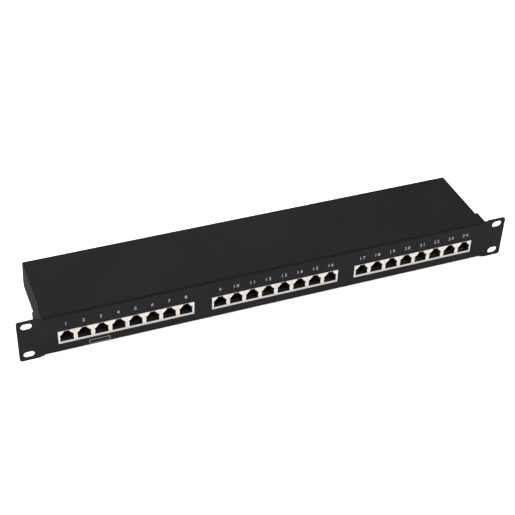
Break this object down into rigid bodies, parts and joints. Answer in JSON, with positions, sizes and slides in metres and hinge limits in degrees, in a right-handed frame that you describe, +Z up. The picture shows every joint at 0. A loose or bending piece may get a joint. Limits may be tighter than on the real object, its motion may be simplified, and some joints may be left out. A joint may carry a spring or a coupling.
{
  "type": "patch panel",
  "caption": "One-unit 19-inch rack patch panel: shielded modular sockets in a black steel front with slotted ears, wire blocks on boards in a tray, and a slide-off cover.",
  "frame": {"origin": "centre of the four rack slots, on the back face of the mounting ears", "axes": "+X to the right seen from the front, along the panel; +Y from the front face to the back, along the rack screws; +Z up"},
  "size_m": [0.4826, 0.0982, 0.0444],
  "materials": {
    "black_powder_coat": "fine-texture satin black powder coat",
    "black_screw": "black oxide",
    "zinc_plate": "bright zinc plate",
    "brass_standoff": "turned brass",
    "circuit_board": "green solder mask",
    "black_plastic": "moulded satin",
    "gold_contact": "gold flash",
    "white_plastic": "moulded satin",
    "tinned_fork": "tinned",
    "nickel_shield": "satin nickel plate"
  },
  "bodies": {
    "chassis": {"front_panel": "black_powder_coat", "rear_tray": "black_powder_coat", "cover_bracket_left": "black_powder_coat", "cover_bracket_right": "black_powder_coat", "cover_nuts": "zinc_plate", "frame_rivets": "zinc_plate", "board_standoffs": "brass_standoff", "board_screws": "zinc_plate", "ground_stud": "zinc_plate", "ground_washer": "zinc_plate", "ground_nut": "zinc_plate", "circuit_board_1_to_8": "circuit_board", "jack_bodies_1_to_8": "black_plastic", "jack_contacts_1_to_8": "gold_contact", "wire_blocks_1_to_8": "white_plastic", "wire_forks_1_to_8": "tinned_fork", "circuit_board_9_to_16": "circuit_board", "jack_bodies_9_to_16": "black_plastic", "jack_contacts_9_to_16": "gold_contact", "wire_blocks_9_to_16": "white_plastic", "wire_forks_9_to_16": "tinned_fork", "circuit_board_17_to_24": "circuit_board", "jack_bodies_17_to_24": "black_plastic", "jack_contacts_17_to_24": "gold_contact", "wire_blocks_17_to_24": "white_plastic", "wire_forks_17_to_24": "tinned_fork", "jack_shield_01": "nickel_shield", "jack_shield_02": "nickel_shield", "jack_shield_03": "nickel_shield", "jack_shield_04": "nickel_shield", "jack_shield_05": "nickel_shield", "jack_shield_06": "nickel_shield", "jack_shield_07": "nickel_shield", "jack_shield_08": "nickel_shield", "jack_shield_09": "nickel_shield", "jack_shield_10": "nickel_shield", "jack_shield_11": "nickel_shield", "jack_shield_12": "nickel_shield", "jack_shield_13": "nickel_shield", "jack_shield_14": "nickel_shield", "jack_shield_15": "nickel_shield", "jack_shield_16": "nickel_shield", "jack_shield_17": "nickel_shield", "jack_shield_18": "nickel_shield", "jack_shield_19": "nickel_shield", "jack_shield_20": "nickel_shield", "jack_shield_21": "nickel_shield", "jack_shield_22": "nickel_shield", "jack_shield_23": "nickel_shield", "jack_shield_24": "nickel_shield"},
    "cover": {"top_cover": "black_powder_coat"},
    "screw_left": {"cover_screw_left": "black_screw"},
    "screw_right": {"cover_screw_right": "black_screw"}
  },
  "joints": [
    {"name": "cover_slide", "type": "slide", "parent": "chassis", "child": "cover", "axis": [0, 1, 0], "range_m": [0, 0.095]},
    {"name": "screw_left_turn", "type": "hinge", "parent": "cover", "child": "screw_left", "pos_m": [-0.207, 0.0823, 0.009], "axis": [0, 1, 0], "continuous": true},
    {"name": "screw_right_turn", "type": "hinge", "parent": "cover", "child": "screw_right", "pos_m": [0.207, 0.0823, 0.009], "axis": [0, 1, 0], "continuous": true}
  ]
}
